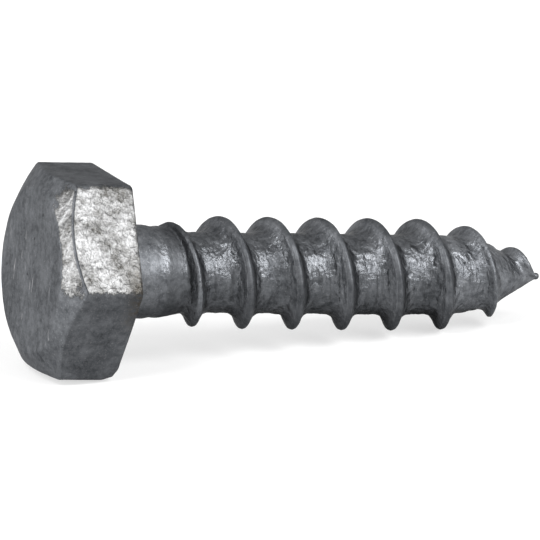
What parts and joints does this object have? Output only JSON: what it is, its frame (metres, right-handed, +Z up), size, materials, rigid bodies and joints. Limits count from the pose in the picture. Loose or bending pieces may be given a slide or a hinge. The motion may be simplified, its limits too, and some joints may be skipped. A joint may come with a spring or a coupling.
{
  "type": "hexagon head lag screw",
  "caption": "Hexagon head lag screw with a coarse wood thread and a gimlet point, zinc coated; it clamps timber when turned in with a wrench.",
  "frame": {"origin": "centre of the bounding box in X and Y, on the surface that the screw lies on", "axes": "the screw lies at rest: +X runs from the head towards the point, with its axis dipping below +X by the angle at which the thread touches the ground, +Z is up, and +Y goes across"},
  "size_m": [0.0464, 0.019, 0.0172],
  "materials": {
    "zinc_coating": "hot-dip galvanised, mottled grey with bright lumps in the thread's roots"
  },
  "bodies": {
    "root": {"lag_screw": "zinc_coating"}
  },
  "joints": []
}
